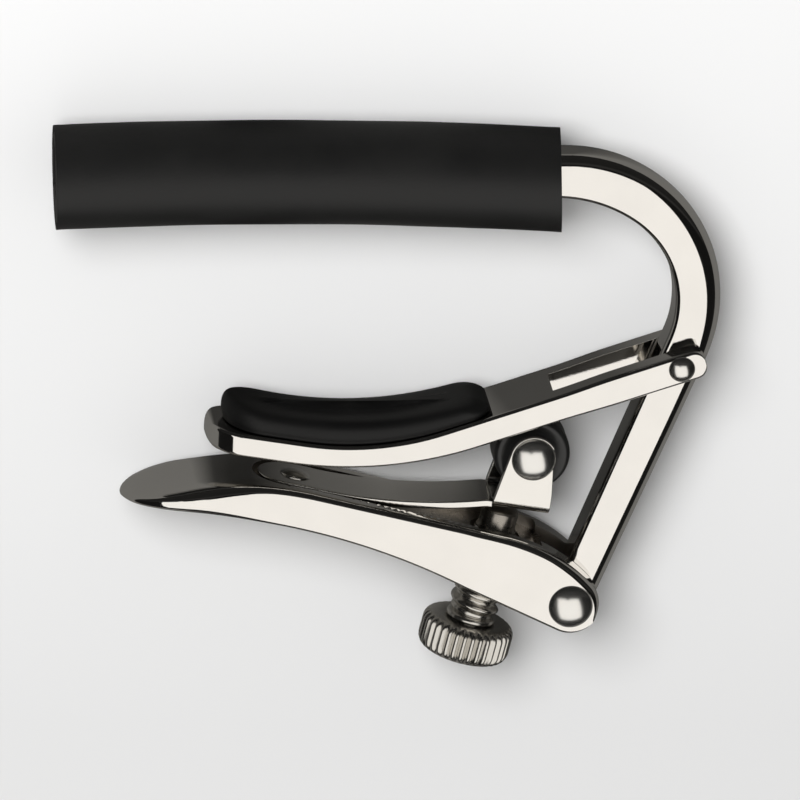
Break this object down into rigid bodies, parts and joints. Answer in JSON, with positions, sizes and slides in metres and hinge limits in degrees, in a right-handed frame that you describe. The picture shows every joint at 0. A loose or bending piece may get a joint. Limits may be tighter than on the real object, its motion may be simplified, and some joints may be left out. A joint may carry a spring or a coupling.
{
  "type": "guitar capo",
  "caption": "Lever-lock guitar capo: bent bar with a rubber sleeve, forked neck arm with a pad, over-centre lever with a roller and a knurled adjusting screw.",
  "frame": {"origin": "middle of the plan, at the lowest point of the capo lying on its side", "axes": "+X from the open end of the jaws towards the hook, +Y from the lever towards the string bar, +Z out of the side that lies up; every pivot runs along Z"},
  "size_m": [0.088, 0.0744, 0.0161],
  "materials": {
    "polished_nickel": "polished nickel plate over brass",
    "pin_nickel": "polished",
    "spring_steel": "polished spring steel",
    "screw_nickel": "turned and plated",
    "sleeve_rubber": "matte",
    "pad_rubber": "satin",
    "roller_plastic": "satin"
  },
  "bodies": {
    "frame": {"frame_bar": "polished_nickel", "string_sleeve": "sleeve_rubber"},
    "arm": {"neck_arm": "polished_nickel", "neck_pad": "pad_rubber", "arm_pivot_pin": "pin_nickel"},
    "lever": {"lever": "polished_nickel", "lever_pivot_pin": "pin_nickel", "spring_root": "spring_steel", "spring_rivet": "pin_nickel"},
    "spring": {"spring_leaf": "spring_steel", "roller_pin": "pin_nickel"},
    "roller": {"roller_bush": "roller_plastic", "roller_tyre": "roller_plastic"},
    "screw": {"adjusting_screw": "screw_nickel"},
    "knob": {"thumb_knob": "screw_nickel"}
  },
  "joints": [
    {"name": "lever_swing", "type": "hinge", "parent": "frame", "child": "lever", "pos_m": [0.02562, -0.02716, 0.00805], "axis": [0, 0, 1], "range_deg": [0, 110]},
    {"name": "arm_swing", "type": "hinge", "parent": "frame", "child": "arm", "pos_m": [0.03872, 0.00544, 0.00805], "axis": [0, 0, 1], "range_deg": [0, 10]},
    {"name": "knob_turn", "type": "hinge", "parent": "screw", "child": "knob", "pos_m": [0.01291, -0.03372, 0.00805], "axis": [0.2113, 0.9774, 0], "range_deg": [-450, 36]},
    {"name": "screw_travel", "type": "slide", "parent": "lever", "child": "screw", "axis": [0.2113, 0.9774, 0], "range_m": [-0.00212, 0.00017]},
    {"name": "spring_lift", "type": "hinge", "parent": "lever", "child": "spring", "pos_m": [-0.00773, -0.01249, 0.00805], "axis": [0, 0, 1], "range_deg": [-5, 0.4]},
    {"name": "roller_spin", "type": "hinge", "parent": "spring", "child": "roller", "pos_m": [0.02012, -0.00766, 0.00805], "axis": [0, 0, 1], "continuous": true}
  ],
  "couplings": [
    {"joint": "arm_swing", "follows": "lever_swing", "ratio": 0.09},
    {"joint": "knob_turn", "follows": "screw_travel", "rad_per_m": 3696},
    {"joint": "spring_lift", "follows": "screw_travel", "rad_per_m": 40.06}
  ]
}
